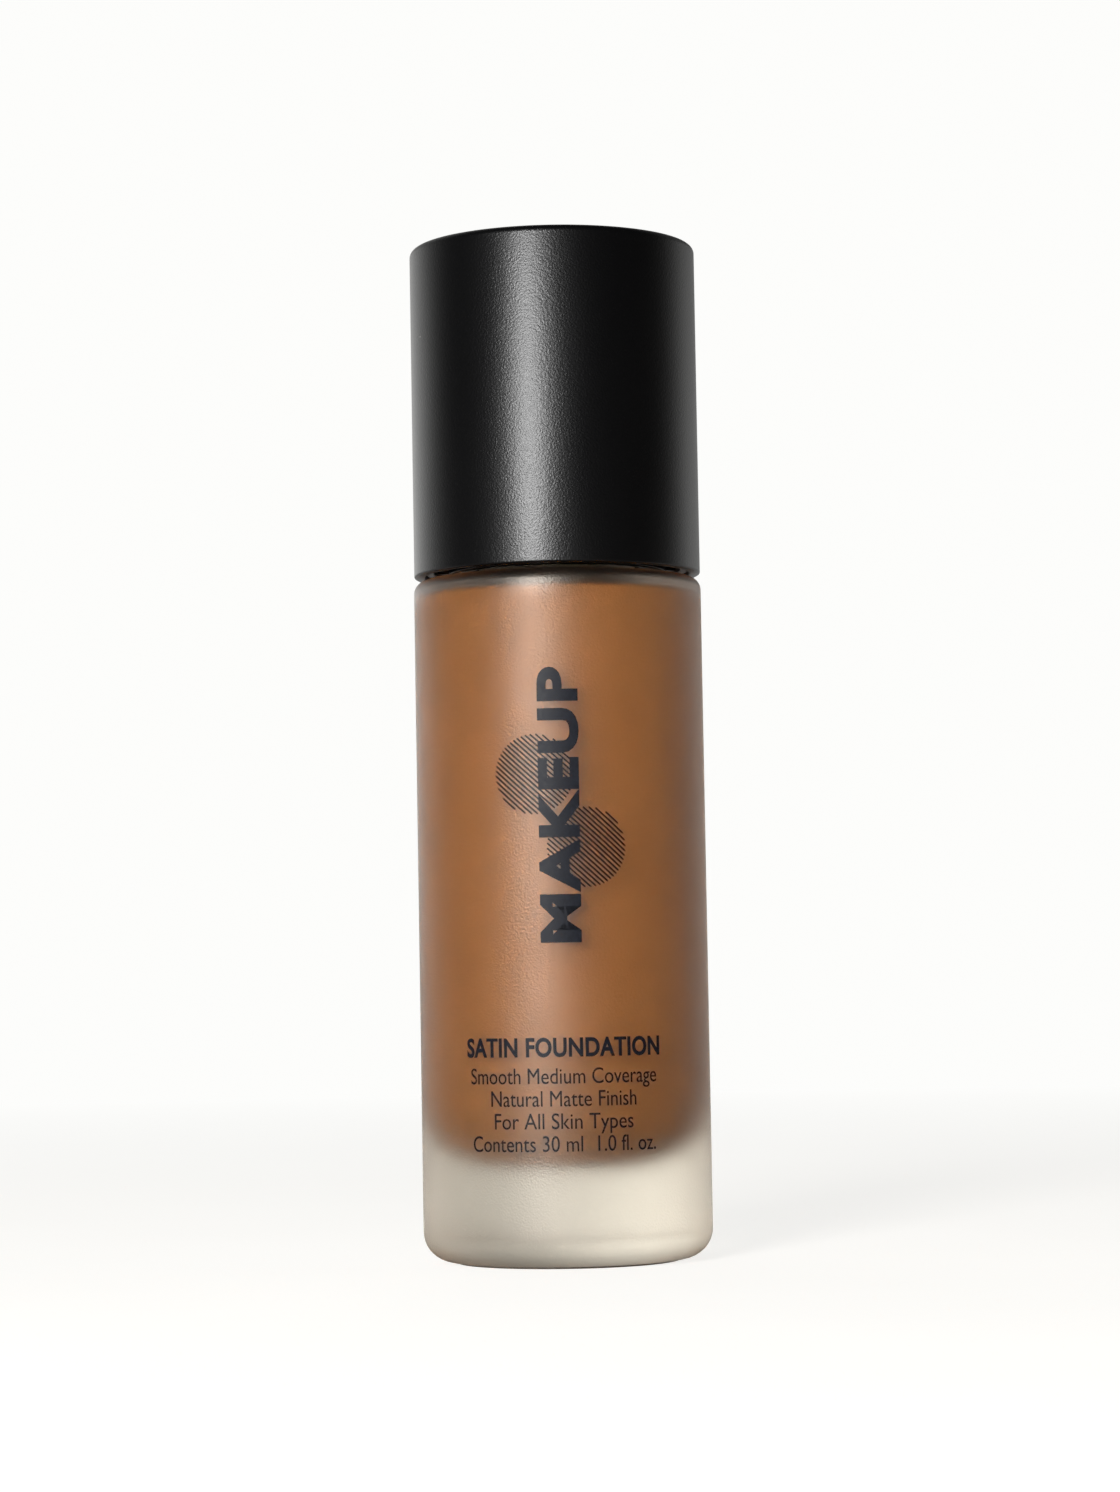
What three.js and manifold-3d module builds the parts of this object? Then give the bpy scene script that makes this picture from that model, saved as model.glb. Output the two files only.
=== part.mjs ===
// A 30 ml foundation bottle: a thick-walled frosted glass bottle full of liquid make-up, a screw-on
// cream pump with its whole mechanism, and a push-on overcap with an inner liner.
// Millimetres, +Z up. The origin is the middle of the underside of the round label on the base.
// The nozzle points along -Y, the front of the bottle.
import * as THREE from "three";
import { mergeVertices } from "three/addons/utils/BufferGeometryUtils.js";
import Module from "manifold-3d";

const wasm = await Module();
wasm.setup();

// ---------------------------------------------------------------- driving sizes

// Facets round a large turned piece, and round a piece of the pump.
const LARGE_FACETS = 32;
const PUMP_FACETS = 24;

// Gaps between pieces.
const SEAT = 0.05; // where one piece rests on another or is pressed into it
const SLIP = 0.1; // where one piece slides or turns in another
const LIQUID_GAP = 0.1; // between the liquid and the glass
const WELL_GAP = 0.4; // between the liquid and the pump that stands in it

// Small shapes that repeat.
const SOFT_EDGE = 0.4; // bevel on the corners of the pump's moulded pieces
const SUNK_FOOT = 0.3; // how far a screw ridge starts inside its wall

// Base label.
const labelInset = 0.4; // inside the flat of the glass foot
const labelThickness = 0.15;

// Glass bottle.
const bottleRadius = 16;
const bodyHeight = 75.3; // from the glass foot to the flat of the shoulder
const bodyWall = 3.2;
const baseThickness = 10.5;
const shoulderThickness = 1.7;
const heelRadius = 3.3; // outside, at the foot
const shoulderEdge = 1.2;
const cavityHeel = 4.0; // inside, round the floor
const cavityShoulder = 1.2;
const pushUpRadius = 9.0;
const pushUpDepth = 0.5;

// Threaded neck.
const neckGap = 1.0; // between the hole in the neck and the pump that passes through it
const neckWall = 2.4;
const neckHeight = 10.4;
const neckFillet = 0.8;
const threadPitch = 3.0;
const threadDepth = 1.0;
const threadRoot = 1.6; // height of the ridge where it meets the wall
const threadCrest = 0.8;
const neckTurns = 1.5;
const closureFirstTurn = 0.25;
const closureTurns = 1.25;
const threadStart = 2.9; // from the shoulder to the middle of the ridge's lower end
const threadClearance = 0.25;

// Pump stack on the neck.
const gasketThickness = 1.0;
const flangeThickness = 1.2;
const guideFlange = 1.1;
const flangeInset = 0.4; // how far the flanges stay inside the neck's outer wall
const closureWall = 1.2;
const closurePlate = 1.4;
const towerGap = 0.4; // between the closure's hole and the stem guide's tower
const closureLift = 0.9; // skirt above the shoulder
const sleeveWall = 0.95;
const sleeveLift = 0.6; // sleeve above the shoulder
const sleevePlate = 1.2;
const sleeveEdge = 0.5;
const sleeveStep = 0.3; // how much thicker its wall is above the closure
const catchDepth = 0.8; // of the ridge that snaps over the closure
const catchHeight = 0.6;

// Pump mechanism.
const stroke = 4.2;
const lostMotion = 0.6; // how far the stem moves before it takes the piston with it
const housingBore = 4.4;
const housingWall = 0.9;
const stemRadius = 2.1;
const stemBore = 1.3;
const flangeGap = 0.3; // round the flange on the stem that drives the piston down
const stemFlangeHeight = 1.0;
const guideSkirt = 3.0;
const guideTower = 0.35; // tower above the closure's plate
const guideWall = 1.0;
const towerWall = 2.4;
const pistonLength = 4.0;
const lipHeight = 0.9;
const lipDepth = 0.7;
const lipLand = 0.15; // straight part at the end of a lip
const poppetHead = 1.9;
const poppetRim = 0.7;
const poppetSeat = 0.5; // how far its top is wider than the stem
const pilotLength = 1.6; // of the plug that centres the spring
const poppetGap = 0.6; // between the poppet and the housing
const shankRadius = 1.0;
const shankLength = 6.5;
const springGap = 0.8; // between the spring and the housing
const springWire = 0.6; // diameter
const springTurns = 6.5; // open turns, with a closed one more at each end
const springSpare = 0.5; // left between the turns at the end of the stroke
const ballRadius = 1.75;
const ballLift = 1.2;
const ballGap = 0.06;
const cageGap = 0.45; // round the ball in its cage
const retainerThickness = 0.9;
const retainerLug = 0.8; // width of each lug over the ball
const lugOverBall = 0.45; // how far each lug reaches inside the ball's outline
const inletRadius = 1.0;
const inletLength = 1.0;
const socketLength = 6.0;
const tubeRadius = 1.6;
const tubeWall = 0.6;
const tubeSlant = THREE.MathUtils.degToRad(35); // of the cut end
const tubeClearance = 2.0; // from the end of the dip tube to the floor of the bottle
const ventRadius = 0.5;

// Actuator.
const buttonRadius = 8.8;
const buttonHeight = 12.5;
const buttonWall = 1.0;
const buttonPlate = 1.3;
const buttonEdge = 0.8;
const buttonDish = 0.45;
const buttonSink = 0.3; // how far the skirt starts inside the sleeve
const buttonClearance = 0.5; // round the button, in the sleeve's opening
const endClearance = 0.25; // left under the button at the end of the stroke
const nozzleRadius = 2.0;
const nozzleTip = 1.6; // radius at the end of the taper
const nozzleTaper = 3.0; // length of the taper
const nozzleEdge = 0.3;
const nozzleBore = 0.9;
const nozzleInset = 0.3; // how far its end stays inside the sleeve's outline, so that the cap passes it
const nozzleGap = 0.8; // between the pressed nozzle and the sleeve
const tipRadius = 1.45;
const tipBore = 0.6;
const tipDepth = 1.8; // of the insert in the nozzle
const tipProud = 0.15; // of the insert, outside the nozzle
const socketWall = 1.2;
const coreDisc = 1.1;

// Overcap.
const capInset = 0.05; // how far its side stays inside the bottle's
const capLift = 0.45; // open gap between its rim and the shoulder
const capWall = 1.2;
const capPlate = 2.15;
const capEdge = 0.7;
const capRimEdge = 0.2;
const capHeadroom = 1.8; // above the button
const linerWall = 0.9;
const linerPlate = 0.9;
const linerLift = 0.4; // above the shell's rim
const linerRibs = 12;
const ribWidth = 0.8;
const ribLength = 15.2;
const ribLift = 0.4; // above the liner's rim

// ---------------------------------------------------------------- places worked out from the sizes

const glassFoot = labelThickness + SEAT;
const footRadius = bottleRadius - heelRadius;
const labelRadius = footRadius - labelInset;
const shoulderTop = glassFoot + bodyHeight;
const cavityRadius = bottleRadius - bodyWall;
const cavityFloor = glassFoot + baseThickness;
const cavityTop = shoulderTop - shoulderThickness;
const cavityLip = shoulderThickness / 2; // rounding where the cavity meets the neck
const housingRadius = housingBore + housingWall;
const neckBore = housingRadius + neckGap;
const neckRadius = neckBore + neckWall;
const neckTop = shoulderTop + neckHeight;

// From here to the liner, heights are above the rim of the neck, where the pump stands.
const gasketTop = SEAT + gasketThickness;
const flangeRadius = neckRadius - flangeInset;
const flangeBottom = gasketTop + SEAT;
const flangeTop = flangeBottom + flangeThickness;
const guideBottom = flangeTop + SEAT;
const guideTop = guideBottom + guideFlange;
const closureUnder = guideTop + SLIP;
const closureTop = closureUnder + closurePlate;
const closureBore = neckRadius + threadDepth + threadClearance;
const closureRadius = closureBore + closureWall;
const sleeveBore = closureRadius + SLIP;
const sleeveRadius = sleeveBore + sleeveWall;
const towerTop = closureTop + guideTower;
const buttonBottom = closureTop + stroke + endClearance;
const buttonTop = buttonBottom + buttonHeight;
const buttonUnder = buttonTop - buttonPlate;
const sleeveTop = buttonBottom + buttonSink;
const nozzleReach = sleeveRadius - nozzleInset;
const nozzleHeight = sleeveTop + stroke + nozzleRadius + nozzleGap;
const stemTop = nozzleHeight - nozzleBore - 0.3;
const socketBottom = towerTop + stroke + 2 * buttonSink;
const skirtRadius = housingBore - SLIP;
const skirtBore = skirtRadius - guideWall;
const pistonTop = guideBottom - guideSkirt - SEAT;
const pistonBottom = pistonTop - pistonLength;
const poppetTop = pistonBottom - SEAT;
const poppetBottom = poppetTop - poppetHead;
const springRadius = housingBore - springGap - springWire / 2;
const springLength = stroke + (springTurns + 2) * springWire + springSpare;
const springTop = poppetBottom - SEAT;
const springBottom = springTop - springLength;
const retainerBottom = springBottom - SEAT - retainerThickness;
const ledge = retainerBottom - SEAT;
const cageRadius = ballRadius + cageGap;
const ballMiddle = retainerBottom - SEAT - ballLift - ballRadius;
const coneTop = ballMiddle - (Math.SQRT2 * (ballRadius + ballGap) - cageRadius);
const coneBottom = coneTop - (cageRadius - inletRadius);
const inletBottom = coneBottom - inletLength;
const socketEnd = inletBottom - socketLength;
const cageOuter = cageRadius + housingWall + SLIP;
const tubeSocket = tubeRadius + SEAT;
const tubeSocketOuter = tubeSocket + housingWall;
const tubeEnd = cavityFloor + tubeClearance - neckTop;
const taperTop = ledge + housingWall;
const taperBottom = taperTop - (housingRadius - cageOuter) * 1.2;

// Heights of the overcap are above its own rim.
const capFoot = shoulderTop + capLift;
const capRadius = bottleRadius - capInset;
const linerUnder = neckTop + buttonTop + capHeadroom - capFoot;
const linerTop = linerUnder + linerPlate;
const capUnder = linerTop + SEAT;
const capTop = capUnder + capPlate;
const linerRadius = capRadius - capWall - SLIP;
const linerBore = linerRadius - linerWall;

// ---------------------------------------------------------------- ways of making a piece

// Points on an arc, in degrees, for a turned profile: [radius from the axis, height].
function arc(r, z, radius, from, to, steps) {
  return Array.from({ length: steps + 1 }, (_, i) => {
    const angle = THREE.MathUtils.degToRad(from + ((to - from) * i) / steps);
    return [r + radius * Math.cos(angle), z + radius * Math.sin(angle)];
  });
}

// A profile turned about Z. It runs anticlockwise seen with the axis on its left, and closes itself
// unless both its ends are on the axis.
function turned(profile, facets) {
  const onAxis = profile[0][0] === 0 && profile.at(-1)[0] === 0;
  const outline = onAxis ? profile : [...profile, profile[0]];
  const points = outline.map(([r, z]) => new THREE.Vector2(r, z));
  return new THREE.LatheGeometry(points, facets).rotateX(Math.PI / 2);
}

// A plain ring or tube between two radii and two heights.
function ring(inner, outer, bottom, top, facets) {
  return turned([[inner, bottom], [outer, bottom], [outer, top], [inner, top]], facets);
}

function disc(radius, bottom, top, facets) {
  return turned([[0, bottom], [radius, bottom], [radius, top], [0, top]], facets);
}

function block(width, depth, height, x, y, z) {
  return new THREE.BoxGeometry(width, depth, height).translate(x, y, z);
}

// A geometry as a solid that can be cut and joined.
function solid(geometry) {
  const bare = geometry.index ? geometry.toNonIndexed() : geometry.clone();
  bare.deleteAttribute("normal");
  bare.deleteAttribute("uv");
  const merged = mergeVertices(bare, 1e-4);
  const corners = merged.index.array;
  const kept = [];
  for (let i = 0; i < corners.length; i += 3) {
    const [a, b, c] = corners.slice(i, i + 3);
    if (a !== b && b !== c && c !== a) kept.push(a, b, c);
  }
  const vertProperties = merged.attributes.position.array;
  return new wasm.Manifold(new wasm.Mesh({ numProp: 3, vertProperties, triVerts: new Uint32Array(kept) }));
}

// A solid back as a geometry.
function shape(made) {
  const mesh = made.getMesh();
  const geometry = new THREE.BufferGeometry();
  geometry.setAttribute("position", new THREE.BufferAttribute(new Float32Array(mesh.vertProperties), 3));
  geometry.setIndex(new THREE.BufferAttribute(new Uint32Array(mesh.triVerts), 1));
  const flat = geometry.toNonIndexed();
  flat.computeVertexNormals();
  return flat;
}

function join(first, ...others) {
  return shape(others.reduce((sum, other) => sum.add(solid(other)), solid(first)));
}

function cut(first, ...others) {
  return shape(others.reduce((left, other) => left.subtract(solid(other)), solid(first)));
}

// A screw ridge: a straight bar of trapezoid section, wrapped round the axis into a right-hand helix.
// Its foot is sunk in the wall, its crest stands off it, and both ends fade into the wall.
// start is the height of its middle at angle 0, and the bar runs from one angle to another, in turns.
function ridge(foot, crest, start, fromTurn, toTurn) {
  const section = new THREE.Shape([
    new THREE.Vector2(foot, -threadRoot / 2),
    new THREE.Vector2(crest, -threadCrest / 2),
    new THREE.Vector2(crest, threadCrest / 2),
    new THREE.Vector2(foot, threadRoot / 2),
  ]);
  const steps = Math.round((toTurn - fromTurn) * LARGE_FACETS);
  const bar = new THREE.ExtrudeGeometry(section, { depth: 1, steps, bevelEnabled: false });
  const place = bar.attributes.position;
  const fadeOver = 3 / steps;
  for (let i = 0; i < place.count; i++) {
    const along = place.getZ(i);
    const turn = fromTurn + (toTurn - fromTurn) * along;
    const fade = Math.min(1, Math.min(along, 1 - along) / fadeOver + 0.1);
    const radius = foot + (place.getX(i) - foot) * fade;
    const angle = turn * 2 * Math.PI;
    const height = start + place.getY(i) + threadPitch * turn;
    place.setXYZ(i, radius * Math.cos(angle), radius * Math.sin(angle), height);
  }
  return bar;
}

// The wrapped bar is turned inside out when its foot is outside its crest.
function turnedFacesOut(geometry) {
  const made = solid(geometry);
  if (made.volume() > 0) return geometry;
  const place = geometry.attributes.position;
  for (let i = 0; i < place.count; i += 3) {
    const second = new THREE.Vector3().fromBufferAttribute(place, i + 1);
    const third = new THREE.Vector3().fromBufferAttribute(place, i + 2);
    place.setXYZ(i + 1, third.x, third.y, third.z);
    place.setXYZ(i + 2, second.x, second.y, second.z);
  }
  return geometry;
}

// ---------------------------------------------------------------- materials

function plastic(color, roughness) {
  return new THREE.MeshStandardMaterial({ color, roughness, metalness: 0 });
}

const frostedGlass = new THREE.MeshStandardMaterial({
  color: 0xd9d3c7,
  roughness: 0.5,
  transparent: true,
  opacity: 0.4,
});
const foundation = plastic(0x9a6846, 0.6);
const labelFilm = plastic(0xd8cfc2, 0.5);
const mattBlack = plastic(0x17171a, 0.45);
const satinBlack = plastic(0x1b1b1e, 0.35);
const glossBlack = plastic(0x111113, 0.2);
const naturalPlastic = plastic(0xe6e4dc, 0.45);
const softSeal = plastic(0xd6d3c9, 0.7);
const springSteel = new THREE.MeshStandardMaterial({ color: 0xb6b8ba, roughness: 0.3, metalness: 1 });

// ---------------------------------------------------------------- bottle

function baseLabel() {
  return disc(labelRadius, 0, labelThickness, LARGE_FACETS);
}

function glassBottle() {
  const profile = [
    [0, glassFoot + pushUpDepth],
    [pushUpRadius * 0.6, glassFoot + pushUpDepth * 0.7],
    [pushUpRadius, glassFoot],
    ...arc(footRadius, glassFoot + heelRadius, heelRadius, -90, 0, 5),
    ...arc(bottleRadius - shoulderEdge, shoulderTop - shoulderEdge, shoulderEdge, 0, 90, 3),
    ...arc(neckRadius + neckFillet, shoulderTop + neckFillet, neckFillet, 270, 180, 2),
    [neckRadius, neckTop],
    [neckBore, neckTop],
    ...arc(neckBore + cavityLip, cavityTop + cavityLip, cavityLip, 180, 270, 2),
    ...arc(cavityRadius - cavityShoulder, cavityTop - cavityShoulder, cavityShoulder, 90, 0, 2),
    ...arc(cavityRadius - cavityHeel, cavityFloor + cavityHeel, cavityHeel, 0, -90, 4),
    [0, cavityFloor],
  ];
  const threadFoot = neckRadius - SUNK_FOOT;
  const thread = ridge(threadFoot, neckRadius + threadDepth, shoulderTop + threadStart, 0, neckTurns);
  return join(turned(profile, LARGE_FACETS), turnedFacesOut(thread));
}

// The liquid fills the bottle up to the shoulder, round a well in which the pump stands. The well
// never narrows upwards, so that the pump can be lifted.
function liquidFill() {
  const radius = cavityRadius - LIQUID_GAP;
  const floor = cavityFloor + LIQUID_GAP;
  const top = cavityTop - LIQUID_GAP;
  const profile = [
    [0, floor],
    ...arc(radius - cavityHeel, floor + cavityHeel, cavityHeel, -90, 0, 4),
    ...arc(radius - cavityShoulder, top - cavityShoulder, cavityShoulder, 0, 90, 2),
    [neckBore + shoulderThickness, top],
    [housingRadius + WELL_GAP, top],
    [housingRadius + WELL_GAP, neckTop + taperTop - WELL_GAP],
    [cageOuter + WELL_GAP, neckTop + taperBottom - WELL_GAP],
    [cageOuter + WELL_GAP, neckTop + inletBottom - WELL_GAP],
    [tubeSocketOuter + WELL_GAP, neckTop + inletBottom - WELL_GAP],
    [tubeSocketOuter + WELL_GAP, neckTop + socketEnd - WELL_GAP],
    [tubeRadius + WELL_GAP, neckTop + socketEnd - WELL_GAP],
    [tubeRadius + WELL_GAP, neckTop + tubeEnd - WELL_GAP],
    [0, neckTop + tubeEnd - WELL_GAP],
  ];
  return turned(profile, LARGE_FACETS);
}

// ---------------------------------------------------------------- pump, above the rim of the neck

function neckGasket() {
  return ring(neckBore + SLIP, flangeRadius, SEAT, gasketTop, LARGE_FACETS);
}

function dipTube() {
  const tube = ring(tubeRadius - tubeWall, tubeRadius, tubeEnd, inletBottom - SEAT, PUMP_FACETS);
  const slant = block(4 * tubeRadius, 4 * tubeRadius, 2 * tubeRadius, 0, 0, -tubeRadius)
    .rotateY(-tubeSlant)
    .translate(-tubeRadius, 0, tubeEnd);
  return cut(tube, slant);
}

function pumpHousing() {
  const profile = [
    [tubeSocket, socketEnd],
    [tubeSocketOuter, socketEnd],
    [tubeSocketOuter, inletBottom],
    [cageOuter, inletBottom],
    [cageOuter, taperBottom],
    [housingRadius, taperTop],
    [housingRadius, flangeBottom],
    [flangeRadius, flangeBottom],
    [flangeRadius, flangeTop],
    [housingBore, flangeTop],
    [housingBore, ledge],
    [cageRadius, ledge],
    [cageRadius, coneTop],
    [inletRadius, coneBottom],
    [inletRadius, inletBottom],
    [tubeSocket, inletBottom],
  ];
  const vent = new THREE.CylinderGeometry(ventRadius, ventRadius, 2 * housingWall, 8)
    .rotateZ(Math.PI / 2)
    .translate(housingBore + housingWall / 2, 0, (pistonBottom + pistonTop) / 2);
  return cut(turned(profile, PUMP_FACETS), vent);
}

// A ring under the spring. Its three lugs reach over the ball and keep it in its cage.
function ballRetainer() {
  const top = retainerBottom + retainerThickness;
  const rim = ring(cageRadius, housingBore - SEAT, retainerBottom, top, PUMP_FACETS);
  const lugInner = ballRadius - lugOverBall;
  const lugDepth = cageRadius + lugOverBall - lugInner;
  const middle = (retainerBottom + top) / 2;
  const lugs = [0, 1, 2].map((i) =>
    block(lugDepth, retainerLug, retainerThickness, lugInner + lugDepth / 2, 0, middle)
      .rotateZ((i * 2 * Math.PI) / 3),
  );
  return join(rim, ...lugs);
}

function inletBall() {
  return new THREE.SphereGeometry(ballRadius, 16, 10).rotateX(Math.PI / 2).translate(0, 0, ballMiddle);
}

// Round wire wound into an open coil with a closed turn at each end.
class SpringLine extends THREE.Curve {
  getPoint(t, target = new THREE.Vector3()) {
    const turn = t * (springTurns + 2);
    const open = THREE.MathUtils.clamp(turn - 1, 0, springTurns) / springTurns;
    const wire = springWire * 1.05;
    const closed = Math.min(turn, 1) + Math.max(turn - 1 - springTurns, 0);
    const height = closed * wire + open * (springLength - 3 * wire) + wire / 2;
    const angle = turn * 2 * Math.PI;
    return target.set(springRadius * Math.cos(angle), springRadius * Math.sin(angle), springBottom + height);
  }
}

function returnSpring() {
  const wire = new THREE.Shape().absarc(0, 0, springWire / 2, 0, 2 * Math.PI);
  const steps = Math.round((springTurns + 2) * 14);
  return new THREE.ExtrudeGeometry(wire, {
    steps,
    curveSegments: 3,
    extrudePath: new SpringLine(),
    bevelEnabled: false,
  });
}

function piston() {
  const lip = housingBore - SEAT;
  const bore = stemRadius + SLIP;
  return turned(
    [
      [bore, pistonBottom],
      [lip - lipDepth, pistonBottom],
      [lip, pistonBottom + lipLand],
      [lip, pistonBottom + lipHeight / 2],
      [lip - lipDepth, pistonBottom + 2 * lipHeight],
      [lip - lipDepth, pistonTop - 2 * lipHeight],
      [lip, pistonTop - lipHeight / 2],
      [lip, pistonTop - lipLand],
      [lip - lipDepth, pistonTop],
      [bore, pistonTop],
    ],
    PUMP_FACETS,
  );
}

function valvePoppet() {
  const pilot = springRadius - springWire;
  return turned(
    [
      [0, poppetBottom - pilotLength],
      [pilot - SOFT_EDGE, poppetBottom - pilotLength],
      [pilot, poppetBottom - pilotLength / 2],
      [pilot, poppetBottom],
      [housingBore - poppetGap, poppetBottom],
      [housingBore - poppetGap, poppetBottom + poppetRim],
      [stemRadius + poppetSeat, poppetTop],
      [shankRadius, poppetTop],
      [shankRadius, poppetTop + shankLength - SOFT_EDGE],
      [shankRadius - SOFT_EDGE, poppetTop + shankLength],
      [0, poppetTop + shankLength],
    ],
    PUMP_FACETS,
  );
}

function stem() {
  const bottom = poppetTop + SEAT;
  const port = 1.6;
  const flange = pistonTop + SEAT + lostMotion;
  const tube = turned(
    [
      [stemBore, bottom],
      [stemRadius, bottom],
      [stemRadius, flange],
      [skirtBore - flangeGap, flange],
      [skirtBore - flangeGap, flange + stemFlangeHeight],
      [stemRadius, flange + stemFlangeHeight],
      [stemRadius, stemTop],
      [stemBore, stemTop],
    ],
    PUMP_FACETS,
  );
  const across = block(4 * stemRadius, 1, port, 0, 0, bottom);
  const along = block(1, 4 * stemRadius, port, 0, 0, bottom);
  return cut(tube, across, along);
}

function stemGuide() {
  const bore = stemRadius + SLIP;
  const tower = bore + towerWall;
  return turned(
    [
      [skirtBore, pistonTop + SEAT],
      [skirtRadius, pistonTop + SEAT],
      [skirtRadius, guideBottom],
      [flangeRadius, guideBottom],
      [flangeRadius, guideTop],
      [tower, guideTop],
      [tower, towerTop - SOFT_EDGE],
      [tower - SOFT_EDGE, towerTop],
      [bore, towerTop],
      [bore, guideBottom],
      [skirtBore, guideBottom - guideFlange / 2],
    ],
    PUMP_FACETS,
  );
}

function screwClosure() {
  const bottom = closureLift - neckHeight;
  const hole = stemRadius + SLIP + towerWall + towerGap;
  const profile = [
    [closureBore, bottom],
    [closureRadius, bottom],
    [closureRadius, closureTop - SOFT_EDGE],
    [closureRadius - SOFT_EDGE, closureTop],
    [hole, closureTop],
    [hole, closureUnder],
    [closureBore, closureUnder],
  ];
  const middle = threadStart - neckHeight - threadPitch / 2;
  const crest = closureBore - threadDepth;
  const lastTurn = closureFirstTurn + closureTurns;
  const thread = ridge(closureBore + SUNK_FOOT, crest, middle, closureFirstTurn, lastTurn);
  return join(turned(profile, LARGE_FACETS), turnedFacesOut(thread));
}

function collarSleeve() {
  const bottom = sleeveLift - neckHeight;
  const opening = buttonRadius + buttonClearance;
  const step = closureTop + SEAT;
  return turned(
    [
      [sleeveBore, bottom],
      [sleeveRadius, bottom],
      ...arc(sleeveRadius - sleeveEdge, sleeveTop - sleeveEdge, sleeveEdge, 0, 90, 2),
      [opening, sleeveTop],
      [opening, sleeveTop - sleevePlate],
      [sleeveBore - sleeveStep, sleeveTop - sleevePlate],
      [sleeveBore - sleeveStep, step + catchHeight],
      [sleeveBore - catchDepth, step],
      [sleeveBore, step],
    ],
    LARGE_FACETS,
  );
}

function actuatorButton() {
  const inner = buttonRadius - buttonWall;
  const cup = turned(
    [
      [0, buttonUnder],
      [inner, buttonUnder],
      [inner, buttonBottom],
      [buttonRadius, buttonBottom],
      ...arc(buttonRadius - buttonEdge, buttonTop - buttonEdge, buttonEdge, 0, 90, 3),
      [buttonRadius * 0.78, buttonTop],
      [buttonRadius * 0.45, buttonTop - buttonDish * 0.7],
      [0, buttonTop - buttonDish],
    ],
    LARGE_FACETS,
  );
  const half = nozzleRadius + 2 * SLIP;
  const slot = new THREE.Shape();
  slot.moveTo(-half, buttonBottom - 1);
  slot.lineTo(half, buttonBottom - 1);
  slot.lineTo(half, nozzleHeight);
  slot.absarc(0, nozzleHeight, half, 0, Math.PI, false);
  slot.closePath();
  const along = { depth: 2 * buttonRadius, curveSegments: 6, bevelEnabled: false };
  const cutter = new THREE.ExtrudeGeometry(slot, along)
    .rotateX(Math.PI / 2)
    .translate(0, -buttonRadius / 2, 0);
  return cut(cup, cutter);
}

function nozzleCore() {
  const socket = stemRadius + SEAT;
  const column = socket + socketWall;
  const discRadius = buttonRadius - buttonWall - 2 * SLIP;
  const discTop = buttonUnder - SEAT;
  const body = turned(
    [
      [0, socketBottom],
      [column, socketBottom],
      [column, discTop - coreDisc],
      [discRadius, discTop - coreDisc],
      [discRadius, discTop],
      [0, discTop],
    ],
    PUMP_FACETS,
  );
  const spout = turned(
    [
      [0, 1],
      [nozzleRadius, 1],
      [nozzleRadius, nozzleReach - nozzleTaper],
      ...arc(nozzleTip - nozzleEdge, nozzleReach - nozzleEdge, nozzleEdge, 0, 90, 2),
      [0, nozzleReach],
    ],
    16,
  )
    .rotateX(Math.PI / 2)
    .translate(0, 0, nozzleHeight);
  const channel = disc(nozzleBore, 0, nozzleReach + 1, 12)
    .rotateX(Math.PI / 2)
    .translate(0, 0, nozzleHeight);
  const riser = disc(nozzleBore, stemTop - 1, nozzleHeight, 12);
  const stemHole = disc(socket, socketBottom - 1, stemTop + SEAT, PUMP_FACETS);
  const tipHole = disc(tipRadius + SEAT, nozzleReach - tipDepth - SEAT, nozzleReach + 1, 16)
    .rotateX(Math.PI / 2)
    .translate(0, 0, nozzleHeight);
  return cut(join(body, spout), channel, riser, stemHole, tipHole);
}

function nozzleInsert() {
  return ring(tipBore, tipRadius, nozzleReach - tipDepth, nozzleReach + tipProud, 16)
    .rotateX(Math.PI / 2)
    .translate(0, 0, nozzleHeight);
}

// ---------------------------------------------------------------- overcap, above its own rim

function capShell() {
  const bore = capRadius - capWall;
  return turned(
    [
      [0, capUnder],
      [bore, capUnder],
      [bore, 0],
      [capRadius - capRimEdge, 0],
      [capRadius, capRimEdge],
      ...arc(capRadius - capEdge, capTop - capEdge, capEdge, 0, 90, 3),
      [0, capTop],
    ],
    LARGE_FACETS,
  );
}

function capLiner() {
  const cup = turned(
    [
      [0, linerUnder],
      [linerBore, linerUnder],
      [linerBore, linerLift],
      [linerRadius, linerLift],
      [linerRadius, linerTop],
      [0, linerTop],
    ],
    LARGE_FACETS,
  );
  const inner = sleeveRadius + SLIP;
  const depth = linerBore + linerWall / 2 - inner;
  const middle = linerLift + ribLift + ribLength / 2;
  const ribs = Array.from({ length: linerRibs }, (_, i) => {
    const rib = block(depth, ribWidth, ribLength, inner + depth / 2, 0, middle);
    return rib.rotateZ(((i + 0.5) * 2 * Math.PI) / linerRibs);
  });
  return join(cup, ...ribs);
}

// ---------------------------------------------------------------- assembly

function piece(name, geometry, material) {
  const mesh = new THREE.Mesh(geometry, material);
  mesh.name = name;
  return mesh;
}

const bottleAssembly = new THREE.Group();
bottleAssembly.add(
  piece("base_label", baseLabel(), labelFilm),
  piece("glass_bottle", glassBottle(), frostedGlass),
  piece("foundation_fill", liquidFill(), foundation),
);

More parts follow.
